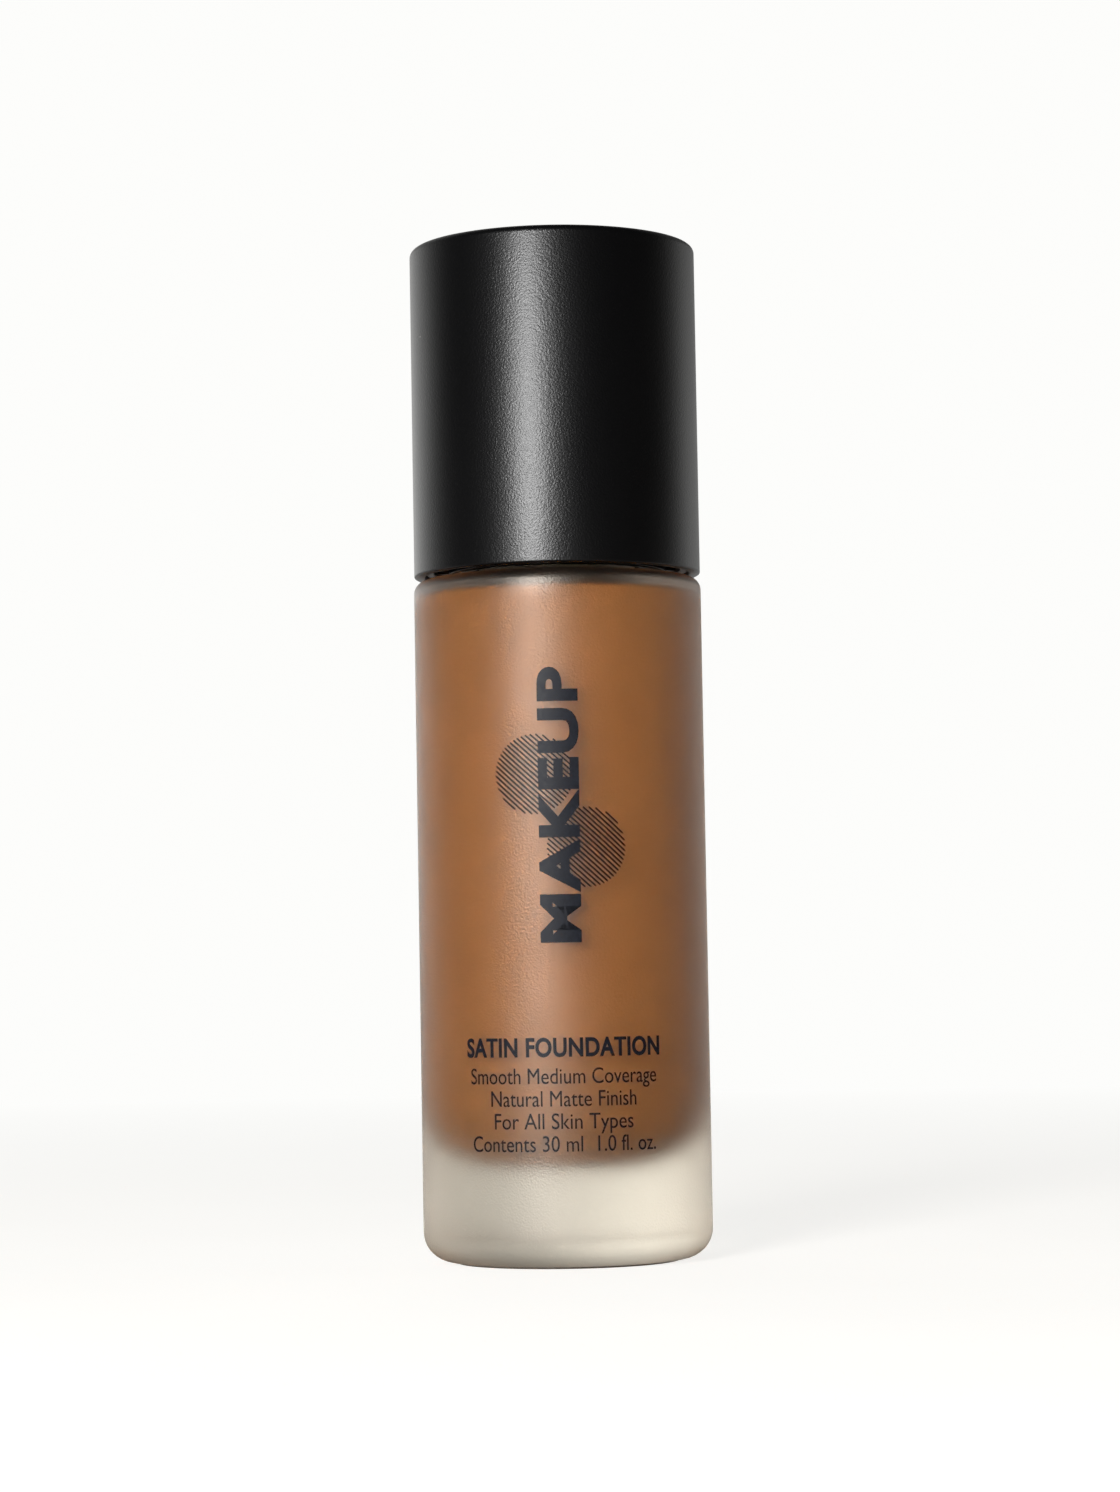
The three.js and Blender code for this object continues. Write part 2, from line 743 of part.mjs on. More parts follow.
const pumpAssembly = new THREE.Group();
pumpAssembly.position.z = neckTop;
pumpAssembly.add(
  piece("neck_gasket", neckGasket(), softSeal),
  piece("dip_tube", dipTube(), naturalPlastic),
  piece("pump_housing", pumpHousing(), naturalPlastic),
  piece("inlet_ball", inletBall(), springSteel),
  piece("ball_retainer", ballRetainer(), naturalPlastic),
  piece("return_spring", returnSpring(), springSteel),
  piece("piston", piston(), softSeal),
  piece("valve_poppet", valvePoppet(), naturalPlastic),
  piece("stem", stem(), naturalPlastic),
  piece("stem_guide", stemGuide(), naturalPlastic),
  piece("screw_closure", screwClosure(), satinBlack),
  piece("collar_sleeve", collarSleeve(), glossBlack),
  piece("nozzle_core", nozzleCore(), satinBlack),
  piece("nozzle_insert", nozzleInsert(), satinBlack),
  piece("actuator_button", actuatorButton(), satinBlack),
);

const capAssembly = new THREE.Group();
capAssembly.position.z = capFoot;
capAssembly.add(piece("cap_liner", capLiner(), satinBlack), piece("cap_shell", capShell(), mattBlack));

const foundationBottle = new THREE.Group();
foundationBottle.add(bottleAssembly, pumpAssembly, capAssembly);

export default foundationBottle;
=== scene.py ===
import math

import bmesh
import bpy
from mathutils import Matrix, Vector

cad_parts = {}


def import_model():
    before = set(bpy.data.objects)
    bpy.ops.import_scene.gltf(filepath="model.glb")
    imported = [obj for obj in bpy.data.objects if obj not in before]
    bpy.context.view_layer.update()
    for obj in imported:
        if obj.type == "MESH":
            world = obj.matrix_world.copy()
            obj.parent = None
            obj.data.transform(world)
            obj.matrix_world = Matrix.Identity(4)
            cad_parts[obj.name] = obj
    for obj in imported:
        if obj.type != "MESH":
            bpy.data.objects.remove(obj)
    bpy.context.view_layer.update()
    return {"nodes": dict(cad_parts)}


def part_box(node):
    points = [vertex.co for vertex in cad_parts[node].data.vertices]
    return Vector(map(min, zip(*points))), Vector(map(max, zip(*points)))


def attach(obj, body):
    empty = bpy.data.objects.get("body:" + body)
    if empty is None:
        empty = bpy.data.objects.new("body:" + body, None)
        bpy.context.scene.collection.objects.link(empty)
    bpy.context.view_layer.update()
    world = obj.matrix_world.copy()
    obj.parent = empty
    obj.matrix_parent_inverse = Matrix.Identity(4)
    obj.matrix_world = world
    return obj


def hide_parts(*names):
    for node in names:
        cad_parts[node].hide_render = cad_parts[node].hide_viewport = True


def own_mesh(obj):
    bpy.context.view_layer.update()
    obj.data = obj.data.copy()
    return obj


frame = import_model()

# Looks for a foundation bottle: frosted glass full of liquid make-up, a polished pump collar, a satin
# button and a matt black overcap, with raised print on the front. Metres, in the frame of the CAD.

MM = 0.001
FRONT = -math.pi / 2  # the angle about Z of the bottle's front, which faces -Y


# ---------------------------------------------------------------- places, read from the frame


def low(node):
    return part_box(node)[0]


def high(node):
    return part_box(node)[1]


GLASS_RADIUS = high("glass_bottle").x
GLASS_FOOT = low("glass_bottle").z
NECK_TOP = high("glass_bottle").z
CAP_RIM = low("cap_shell").z
CAP_TOP = high("cap_shell").z
CAP_RADIUS = high("cap_shell").x
LINER_RADIUS = high("cap_liner").x
SHOULDER = CAP_RIM - 0.45 * MM  # the cap stops this far above the glass
GASKET_RADIUS = high("neck_gasket").x
SLEEVE_RADIUS = high("collar_sleeve").x
SLEEVE_TOP = high("collar_sleeve").z
BUTTON_RADIUS = high("actuator_button").x
BUTTON_TOP = high("actuator_button").z
HOUSING_END = low("pump_housing").z
TUBE_END = low("dip_tube").z
TUBE_RADIUS = high("dip_tube").x
SPOUT_MIDDLE = (low("nozzle_insert").z + high("nozzle_insert").z) / 2
SPOUT_REACH = -low("nozzle_core").y
ON_AXIS = 1e-7  # a point nearer to the axis than this is on it

FILL_GAP = 0.1 * MM  # between the CAD liquid and the CAD glass
CAVITY_RADIUS = high("foundation_fill").x + FILL_GAP
CAVITY_FLOOR = low("foundation_fill").z - FILL_GAP
CAVITY_TOP = high("foundation_fill").z + FILL_GAP
FLOOR_FILLET = 9.0 * MM  # inside corners of the glass
TOP_FILLET = 0.6 * MM


# ---------------------------------------------------------------- mesh helpers


def rounded(corners, closed=False, steps=7):
    """The outline through corners (radius, height, fillet), with each fillet as an arc."""
    points = []
    for i, (r, z, fillet) in enumerate(corners):
        corner = Vector((r, z))
        if fillet == 0 or (not closed and i in (0, len(corners) - 1)):
            points.append(corner)
            continue
        back = (Vector(corners[i - 1][:2]) - corner).normalized()
        ahead = (Vector(corners[(i + 1) % len(corners)][:2]) - corner).normalized()
        half = back.angle(ahead) / 2
        middle = corner + (back + ahead).normalized() * (fillet / math.sin(half))
        start = corner + back * (fillet / math.tan(half)) - middle
        end = corner + ahead * (fillet / math.tan(half)) - middle
        sweep = start.angle(end)
        for k in range(steps + 1):
            t = k / steps
            arm = start * math.sin((1 - t) * sweep) + end * math.sin(t * sweep)
            points.append(middle + arm / math.sin(sweep))
    return points


def made(name, mesh_data, body, *nodes, material, slot, sharp=32):
    """A finished piece: smooth shading, its material, its body and the nodes it replaces; the slot argument
    is not used.
    """
    piece = bpy.data.objects.new(name, mesh_data)
    bpy.context.scene.collection.objects.link(piece)
    for polygon in mesh_data.polygons:
        polygon.use_smooth = True
    mesh_data.set_sharp_from_angle(angle=math.radians(sharp))
    mesh_data.materials.clear()
    mesh_data.materials.append(material)
    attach(piece, body)
    if nodes:
        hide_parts(*nodes)
    return piece


def turned(points, segments=160, axis="Z"):
    """A bmesh of an outline turned about its axis. It closes itself unless both ends are on the axis."""
    mesh = bmesh.new()
    rings = []
    for r, z in points:
        if r < ON_AXIS:
            rings.append([mesh.verts.new((0, 0, z))])
            continue
        angles = (2 * math.pi * k / segments for k in range(segments))
        rings.append([mesh.verts.new((r * math.cos(a), r * math.sin(a), z)) for a in angles])
    pairs = list(zip(rings, rings[1:]))
    if len(rings[0]) > 1:
        pairs.append((rings[-1], rings[0]))
    for one, two in pairs:
        for k in range(segments):
            corners = [one[k % len(one)], one[(k + 1) % len(one)], two[(k + 1) % len(two)], two[k % len(two)]]
            unique = list(dict.fromkeys(corners))
            if len(unique) > 2:
                mesh.faces.new(unique)
    bmesh.ops.recalc_face_normals(mesh, faces=mesh.faces)
    if axis == "-Y":
        mesh.transform(Matrix.Rotation(math.pi / 2, 4, "X"))
    return mesh


def as_data(name, mesh):
    data = bpy.data.meshes.new(name)
    mesh.to_mesh(data)
    mesh.free()
    return data


def combined(name, first, second, operation):
    """The boolean of two closed bmeshes, as mesh data."""
    objects = []
    for mesh in (first, second):
        objects.append(bpy.data.objects.new(name + "_work", as_data(name + "_work", mesh)))
        bpy.context.scene.collection.objects.link(objects[-1])
    modifier = objects[0].modifiers.new("join", "BOOLEAN")
    modifier.operation = operation
    modifier.solver = "EXACT"
    modifier.object = objects[1]
    graph = bpy.context.evaluated_depsgraph_get()
    data = bpy.data.meshes.new_from_object(objects[0].evaluated_get(graph))
    data.name = name
    for work in objects:
        work_data = work.data
        bpy.data.objects.remove(work)
        bpy.data.meshes.remove(work_data)
    return data


def skinned(sections):
    """A closed bmesh through a row of sections, each a ring of as many points, with its ends capped."""
    mesh = bmesh.new()
    rings = [[mesh.verts.new(point) for point in section] for section in sections]
    corners = len(rings[0])
    for one, two in zip(rings, rings[1:]):
        for k in range(corners):
            mesh.faces.new((one[k], one[(k + 1) % corners], two[(k + 1) % corners], two[k]))
    mesh.faces.new(rings[0])
    mesh.faces.new(rings[-1])
    bmesh.ops.recalc_face_normals(mesh, faces=mesh.faces)
    return mesh


def screw_ridge(foot, crest, start, turns, pitch, half_root, half_crest, steps_a_turn=96):
    """A right-hand ridge of trapezoid section round the axis, fading into the wall at both ends."""
    count = round(turns * steps_a_turn)
    fade_steps = 0.12 * steps_a_turn
    sections = []
    for k in range(count + 1):
        angle = 2 * math.pi * k / steps_a_turn
        fade = min(1.0, min(k, count - k) / fade_steps + 0.1)
        tip = foot + (crest - foot) * fade
        z = start + pitch * k / steps_a_turn
        profile = ((foot, -half_root), (tip, -half_crest), (tip, half_crest), (foot, half_root))
        sections.append([(r * math.cos(angle), r * math.sin(angle), z + dz) for r, dz in profile])
    return skinned(sections)


# ---------------------------------------------------------------- materials


def maths(tree, operation, first, second):
    """Two values of a node tree, combined."""
    node = tree.nodes.new("ShaderNodeMath")
    node.operation = operation
    tree.links.new(first, node.inputs[0])
    tree.links.new(second, node.inputs[1])
    return node.outputs["Value"]


class Nodes:
    """A material's node tree, with short ways to add what the finishes below share."""

    def __init__(self, name):
        self.material = bpy.data.materials.new(name)
        self.material.use_nodes = True
        self.tree = self.material.node_tree
        self.shader = self.tree.nodes["Principled BSDF"]
        self.place = self.add("ShaderNodeTexCoord").outputs["Object"]

    def add(self, kind, **values):
        node = self.tree.nodes.new(kind)
        for key, value in values.items():
            setattr(node, key, value)
        return node

    def link(self, source, target):
        self.tree.links.new(source, target)

    def noise(self, size, detail=3.0, stretch=(1, 1, 1)):
        """Soft noise whose features are about size metres across."""
        scaled = self.add("ShaderNodeMapping")
        scaled.inputs["Scale"].default_value = stretch
        self.link(self.place, scaled.inputs["Vector"])
        noise = self.add("ShaderNodeTexNoise")
        noise.inputs["Scale"].default_value = 1 / size
        noise.inputs["Detail"].default_value = detail
        self.link(scaled.outputs["Vector"], noise.inputs["Vector"])
        return noise.outputs["Fac"]

    def spread(self, source, least, most, start=0.3, end=0.7):
        """source, from start to end, as a value from least to most."""
        ranged = self.add("ShaderNodeMapRange")
        ranged.inputs["From Min"].default_value = start
        ranged.inputs["From Max"].default_value = end
        ranged.inputs["To Min"].default_value = least
        ranged.inputs["To Max"].default_value = most
        self.link(source, ranged.inputs["Value"])
        return ranged.outputs["Result"]

    def colours(self, source, first, second, start=0.3, end=0.7):
        ramp = self.add("ShaderNodeValToRGB")
        ramp.color_ramp.elements[0].position = start
        ramp.color_ramp.elements[0].color = (*first, 1)
        ramp.color_ramp.elements[1].position = end
        ramp.color_ramp.elements[1].color = (*second, 1)
        self.link(source, ramp.inputs["Fac"])
        self.link(ramp.outputs["Color"], self.shader.inputs["Base Color"])

    def bump(self, source, depth, before=None):
        bump = self.add("ShaderNodeBump")
        bump.inputs["Distance"].default_value = depth
        self.link(source, bump.inputs["Height"])
        if before:
            self.link(before, bump.inputs["Normal"])
        return bump.outputs["Normal"]

    def set(self, **values):
        for key, value in values.items():
            self.shader.inputs[key.replace("_", " ")].default_value = value


def moulded(name, dark, light, roughness, spread=0.06, grain=0.25 * MM, depth=0.01 * MM, **values):
    """Moulded plastic: a fine texture from the tool, and slow changes of colour and gloss."""
    nodes = Nodes(name)
    slow = nodes.noise(6 * MM)
    nodes.colours(slow, dark, light)
    nodes.link(nodes.spread(slow, roughness - spread, roughness + spread), nodes.shader.inputs["Roughness"])
    nodes.link(nodes.bump(nodes.noise(grain), depth), nodes.shader.inputs["Normal"])
    nodes.set(**values)
    return nodes.material


def cap_lacquer():
    """Soft-touch black lacquer with a fine grain and a few specks of dust."""
    nodes = Nodes("cap_lacquer")
    grain = nodes.noise(0.2 * MM, detail=2.0)
    specks = nodes.add("ShaderNodeTexVoronoi")
    specks.inputs["Scale"].default_value = 1 / (5 * MM)
    nodes.link(nodes.place, specks.inputs["Vector"])
    nodes.colours(specks.outputs["Distance"], (0.16, 0.155, 0.15), (0.0018, 0.0018, 0.002), 0.016, 0.024)
    slow = nodes.noise(9 * MM, stretch=(1, 1, 0.3))
    nodes.link(nodes.spread(slow, 0.31, 0.35), nodes.shader.inputs["Roughness"])
    orange_peel = nodes.bump(nodes.noise(0.9 * MM), 0.0015 * MM)
    nodes.link(nodes.bump(grain, 0.028 * MM, orange_peel), nodes.shader.inputs["Normal"])
    nodes.set(Specular_IOR_Level=0.27)
    return nodes.material


def frosted_glass():
    """Thick glass with an acid-etched skin. It is smoother above the cavity, and the slab between the cavity
    and
    the shoulder has painted shade: its colour is darker there."""
    nodes = Nodes("frosted_glass")
    parts = nodes.add("ShaderNodeSeparateXYZ")
    nodes.link(nodes.place, parts.inputs["Vector"])
    height = parts.outputs["Z"]
    below = nodes.spread(height, 1.0, 0.0, CAVITY_TOP - 0.6 * MM, CAVITY_TOP + 0.2 * MM)
    above = nodes.spread(height, 0.0, 1.0, SHOULDER, SHOULDER + 1.5 * MM)
    clear = maths(nodes.tree, "MAXIMUM", below, above)
    cloudy = nodes.spread(nodes.noise(14 * MM), 0.88, 1.0)
    # Painted shade: the slab between the cavity's top and the shoulder gets a darker colour than the wall.
    painted_slab_shade = (0.46, 0.41, 0.36)
    wall_tint = (0.94, 0.87, 0.74)
    nodes.colours(maths(nodes.tree, "MULTIPLY", clear, cloudy), painted_slab_shade, wall_tint, 0, 1)
    frost = nodes.spread(nodes.noise(4 * MM), 0.44, 0.48)
    smoother = nodes.spread(height, 1.0, 0.75, CAVITY_TOP - 2 * MM, CAVITY_TOP)
    nodes.link(maths(nodes.tree, "MULTIPLY", frost, smoother), nodes.shader.inputs["Roughness"])
    etch = nodes.noise(0.22 * MM, detail=2.0)
    nodes.link(nodes.bump(etch, 0.04 * MM), nodes.shader.inputs["Normal"])
    nodes.set(Transmission_Weight=0.995, IOR=1.5, Specular_Tint=(1.0, 0.9, 0.8, 1.0))
    return nodes.material


def liquid(name, dark, light):
    """Thick opaque make-up against the glass, with faint swirls of pigment."""
    nodes = Nodes(name)
    swirl = nodes.noise(7 * MM, detail=4.0, stretch=(1, 1, 0.45))
    nodes.colours(swirl, dark, light)
    nodes.link(nodes.spread(swirl, 0.5, 0.62), nodes.shader.inputs["Roughness"])
    nodes.set(Specular_IOR_Level=0.0)
    return nodes.material


def label_film():
    nodes = Nodes("label_film")
    fibre = nodes.noise(0.5 * MM, stretch=(1, 3, 1))
    nodes.colours(fibre, (0.20, 0.17, 0.14), (0.25, 0.215, 0.18))
    nodes.link(nodes.spread(fibre, 0.4, 0.55), nodes.shader.inputs["Roughness"])
    nodes.link(nodes.bump(fibre, 0.01 * MM), nodes.shader.inputs["Normal"])
    return nodes.material


def print_ink():
    """Screen-printed ink: blue-black, satin, slightly uneven."""
    nodes = Nodes("print_ink")
    lay = nodes.noise(0.35 * MM)
    nodes.colours(lay, (0.0045, 0.005, 0.008), (0.008, 0.0095, 0.015))
    nodes.link(nodes.spread(lay, 0.42, 0.52), nodes.shader.inputs["Roughness"])
    nodes.link(nodes.bump(lay, 0.004 * MM), nodes.shader.inputs["Normal"])
    nodes.set(Specular_IOR_Level=0.12)
    return nodes.material


def drawn_steel():
    nodes = Nodes("spring_steel")
    scratches = nodes.noise(0.12 * MM, stretch=(1, 1, 6))
    nodes.colours(scratches, (0.50, 0.51, 0.52), (0.66, 0.67, 0.68))
    nodes.link(nodes.spread(scratches, 0.2, 0.34), nodes.shader.inputs["Roughness"])
    nodes.link(nodes.bump(scratches, 0.004 * MM), nodes.shader.inputs["Normal"])
    nodes.set(Metallic=1.0)
    return nodes.material


CAP = cap_lacquer()
GLASS = frosted_glass()
LIQUID = liquid("foundation_liquid", (0.375, 0.148, 0.044), (0.405, 0.164, 0.052))
# A much darker copy of the liquid for its top faces: painted shade, standing in for the shade under the cap.
LIQUID_TOP_PAINTED_SHADE = liquid("foundation_top_painted_shade", (0.03, 0.014, 0.006), (0.04, 0.018, 0.008))
INK = print_ink()
LABEL = label_film()
STEEL = drawn_steel()
GLOSS = moulded(
    "gloss_black",
    (0.004, 0.004, 0.0045),
    (0.006, 0.006, 0.0065),
    roughness=0.09,
    spread=0.03,
    grain=0.8 * MM,
    depth=0.002 * MM,
)
SATIN = moulded("satin_black", (0.009, 0.009, 0.0095), (0.013, 0.013, 0.0135), 0.33)
NATURAL = moulded("natural_plastic", (0.76, 0.75, 0.70), (0.82, 0.81, 0.77), 0.36, Subsurface_Weight=0.15)
SEAL = moulded("soft_seal", (0.66, 0.64, 0.58), (0.72, 0.70, 0.64), 0.55)


# ---------------------------------------------------------------- bottle


def underside(height):
    """Outline of the slightly hollow base, from the axis to its flat rim."""
    rim = 9 * MM
    return [(0, height + 0.5 * MM, 0), (rim * 0.6, height + 0.35 * MM, 4 * MM), (rim, height, 1.5 * MM)]


def glass_bottle():
    neck = GASKET_RADIUS + 0.4 * MM
    bore_inset = 2.3 * MM  # from the gasket's edge to the hole in the neck
    bore = GASKET_RADIUS - bore_inset
    corners = [
        *underside(GLASS_FOOT),
        (GLASS_RADIUS, GLASS_FOOT, 3.3 * MM),
        (GLASS_RADIUS, SHOULDER, 1.35 * MM),
        (neck, SHOULDER, 0.8 * MM),
        (neck, NECK_TOP, 0.35 * MM),
        (bore, NECK_TOP, 0.35 * MM),
        (bore, CAVITY_TOP, 0.85 * MM),
        (CAVITY_RADIUS, CAVITY_TOP, TOP_FILLET),
        (CAVITY_RADIUS, CAVITY_FLOOR, FLOOR_FILLET),
        (0, CAVITY_FLOOR, 0),
    ]
    body = turned(rounded(corners, steps=10), segments=192)
    thread = screw_ridge(
        foot=neck - 0.3 * MM,
        crest=neck + 1.0 * MM,
        start=SHOULDER + 2.9 * MM,
        turns=1.5,
        pitch=3.0 * MM,
        half_root=0.8 * MM,
        half_crest=0.4 * MM,
    )
    data = combined("frosted_bottle", body, thread, "UNION")
    made("frosted_bottle", data, "bottle", "glass_bottle", material=GLASS, slot="frosted_glass")


def liquid_fill():
    """The liquid touches the glass: its skin is a hair inside the wall, so no air shows between them."""
    touch = 0.03 * MM
    radius = CAVITY_RADIUS + touch
    floor = CAVITY_FLOOR - touch
    top = CAVITY_TOP + touch
    well_inset = 7.0 * MM  # from the cavity's wall to the hole that the housing hangs in
    well = high("foundation_fill").x - well_inset
    clearance = 0.4 * MM  # round and under the tube, and under the housing
    tube_well = TUBE_RADIUS + clearance
    corners = [
        (0, floor, 0),
        (radius, floor, FLOOR_FILLET),
        (radius, top, TOP_FILLET),
        (well, top, 0),
        (well, HOUSING_END - clearance, 0),
        (tube_well, HOUSING_END - clearance, 0),
        (tube_well, TUBE_END - clearance, 0),
        (0, TUBE_END - clearance, 0),
    ]
    data = as_data("liquid_foundation", turned(rounded(corners, steps=10), segments=192))
    made("liquid_foundation", data, "bottle", "foundation_fill", material=LIQUID, slot="foundation_liquid")
    data.materials.append(LIQUID_TOP_PAINTED_SHADE)
    # The faces that look up get the dark copy of the liquid: painted shade on its top.
    facing_up = 0.9
    for polygon in data.polygons:
        if polygon.normal.z > facing_up:
            polygon.material_index = 1


def base_label():
    """A thin film stuck to the hollow underside: its upper face is a hair inside the glass."""
    radius = high("base_label").x
    contact = GLASS_FOOT + 0.03 * MM
    top = underside(contact)[::-1]
    corners = underside(0) + [(radius, 0, 0.04 * MM), (radius, contact, 0.04 * MM)] + top
    data = as_data("base_film", turned(rounded(corners), segments=160))
    made("base_film", data, "bottle", "base_label", material=LABEL, slot="label_film")


# ---------------------------------------------------------------- print

PRINT_LIFT = 0.004 * MM  # underside of the ink above the glass
INK_DEPTH = 0.035 * MM
PRINT_TURN = math.radians(-1.0)  # the print's middle is a little to the left of the front
CURVE_STEP = 0.4 * MM  # widest flat part of the ink once it is bent round the bottle

# Places on the flat print: across from its middle, and up from the floor.
WORD_PLACE = (2.25 * MM, 49.8 * MM)  # its baseline across, and its middle up
TITLE_BASELINE = 22.8 * MM
FIRST_BASELINE = 19.95 * MM
LINE_PITCH = 2.41 * MM
HATCH_DEPTH = INK_DEPTH * 0.6
HATCH_CENTRES = ((-2.6 * MM, 53.1 * MM), (3.0 * MM, 45.2 * MM))
HATCH_RADIUS = 4.3 * MM
HATCH_PITCH = 0.42 * MM
HATCH_WIDTH = 0.17 * MM
HATCH_SLOPE = math.radians(-42)


def wrapped(mesh):
    """Bends a flat print (x across, y up, z outwards) round the bottle's front."""
    across = [v.co.x for v in mesh.verts]
    cut = math.ceil(min(across) / CURVE_STEP) * CURVE_STEP
    while cut < max(across):
        everything = mesh.verts[:] + mesh.edges[:] + mesh.faces[:]
        bmesh.ops.bisect_plane(mesh, geom=everything, plane_co=(cut, 0, 0), plane_no=(1, 0, 0), dist=1e-9)
        cut += CURVE_STEP
    for v in mesh.verts:
        radius = GLASS_RADIUS + PRINT_LIFT + v.co.z
        angle = FRONT + PRINT_TURN + v.co.x / GLASS_RADIUS
        v.co = Vector((radius * math.cos(angle), radius * math.sin(angle), v.co.y))
    bmesh.ops.recalc_face_normals(mesh, faces=mesh.faces)
    return mesh


def embolden(mesh, weight):
    """Moves the outline of flat letters outwards by weight, and fills it again."""
    outline = [edge for edge in mesh.edges if edge.is_boundary]
    outwards = {}
    for edge in outline:
        loop = edge.link_loops[0]
        along = (loop.link_loop_next.vert.co - loop.vert.co).normalized() * loop.face.normal.z
        for v in edge.verts:
            outwards.setdefault(v, []).append(Vector((along.y, -along.x, 0)))
    sharpest = 0.25  # keeps the points of acute corners from running out
    for v, (one, two) in outwards.items():
        v.co += (one + two) * weight / max(1 + one.dot(two), sharpest)
    inner = [edge for edge in mesh.edges if not edge.is_boundary]
    bmesh.ops.delete(mesh, geom=mesh.faces[:], context="FACES_ONLY")
    bmesh.ops.delete(mesh, geom=inner, context="EDGES")
    bmesh.ops.triangle_fill(mesh, use_beauty=True, edges=mesh.edges[:], normal=(0, 0, 1))


def lettering(text, height, width, weight=0.0, spacing=1.0):
    """A line of type as a closed flat bmesh, its capitals height tall and the line width long."""
    curve = bpy.data.curves.new("lettering", "FONT")
    curve.body = text
    curve.resolution_u = 5
    curve.space_character = spacing
    work = bpy.data.objects.new("lettering", curve)
    bpy.context.scene.collection.objects.link(work)
    graph = bpy.context.evaluated_depsgraph_get()
    data = bpy.data.meshes.new_from_object(work.evaluated_get(graph))
    mesh = bmesh.new()
    mesh.from_mesh(data)
    bpy.data.objects.remove(work)
    bpy.data.curves.remove(curve)
    bpy.data.meshes.remove(data)
    bmesh.ops.remove_doubles(mesh, verts=mesh.verts, dist=1e-4)
    embolden(mesh, weight)
    left = min(v.co.x for v in mesh.verts)
    right = max(v.co.x for v in mesh.verts)
    capital = 0.7 + 2 * weight  # height of a capital in the built-in type, at size 1
    for v in mesh.verts:
        x = (v.co.x - (left + right) / 2) * width / (right - left)
        v.co = Vector((x, (v.co.y + weight) * height / capital, 0))
    raised = bmesh.ops.extrude_face_region(mesh, geom=mesh.faces[:])["geom"]
    for v in raised:
        if isinstance(v, bmesh.types.BMVert):
            v.co.z = INK_DEPTH
    return mesh


def printed(name, mesh):
    made(name, as_data(name, wrapped(mesh)), "bottle", material=INK, slot="satin_black", sharp=25)


def vertical_word():
    """The large word reads upwards, along the bottle."""
    mesh = lettering("MAKEUP", 4.5 * MM, 29.6 * MM, weight=0.042, spacing=1.12)
    mesh.transform(Matrix.Rotation(math.pi / 2, 4, "Z"))
    mesh.transform(Matrix.Translation((*WORD_PLACE, 0)))
    printed("print_word", mesh)


def text_block():
    """Five centred lines near the bottom."""
    bold = lettering("SATIN FOUNDATION", 2.1 * MM, 22.4 * MM, weight=0.03, spacing=1.06)
    bold.transform(Matrix.Translation((0, TITLE_BASELINE, 0)))
    printed("print_title", bold)
    lines = [  # each with its width in mm
        ("Smooth Medium Coverage", 21.4),
        ("Natural Matte Finish", 16.2),
        ("For All Skin Types", 15.4),
        ("Contents 30 ml  1.0 fl. oz.", 21.0),
    ]
    for i, (text, width) in enumerate(lines):
        mesh = lettering(text, 1.7 * MM, width * MM)
        mesh.transform(Matrix.Translation((0, FIRST_BASELINE - LINE_PITCH * i, 0)))
        printed(f"print_line_{i + 1}", mesh)


def hatched_disc(mesh, centre):
    """Thin parallel lines that fill a disc."""
    along = Vector((math.cos(HATCH_SLOPE), math.sin(HATCH_SLOPE)))
    across = Vector((-along.y, along.x))
    count = int(HATCH_RADIUS / HATCH_PITCH)
    for k in range(-count, count + 1):
        offset = k * HATCH_PITCH
        reach = math.sqrt(max(HATCH_RADIUS**2 - offset**2, 0))
        if reach < HATCH_WIDTH:
            continue
        middle = Vector(centre) + across * offset
        edge = across * HATCH_WIDTH / 2
        flat = [middle - along * reach - edge, middle + along * reach - edge]
        flat += [middle + along * reach + edge, middle - along * reach + edge]
        bottom = [mesh.verts.new((p.x, p.y, 0)) for p in flat]
        top = [mesh.verts.new((p.x, p.y, HATCH_DEPTH)) for p in flat]
        mesh.faces.new(top)
        mesh.faces.new(bottom[::-1])
        for i in range(4):
            mesh.faces.new((bottom[i], bottom[(i + 1) % 4], top[(i + 1) % 4], top[i]))


def hatched_motif():
    """Two hatched discs, one on each side of the large word, as a plain pattern."""
    mesh = bmesh.new()
    for centre in HATCH_CENTRES:
        hatched_disc(mesh, centre)
    printed("print_pattern", mesh)


# ---------------------------------------------------------------- pump head


def collar_sleeve():
    opening = BUTTON_RADIUS + 0.5 * MM
    bore = SLEEVE_RADIUS - 0.95 * MM
    bottom = low("collar_sleeve").z
    plate = SLEEVE_TOP - 1.2 * MM
    corners = [
        (bore, bottom, 0.15 * MM),
        (SLEEVE_RADIUS, bottom, 0.2 * MM),
        (SLEEVE_RADIUS, SLEEVE_TOP, 0.5 * MM),
        (opening, SLEEVE_TOP, 0.3 * MM),
        (opening, plate, 0.2 * MM),
        (bore, plate, 0.3 * MM),
    ]
    data = as_data("pump_collar", turned(rounded(corners, closed=True)))
    made("pump_collar", data, "closure", "collar_sleeve", material=GLOSS, slot="gloss_black")


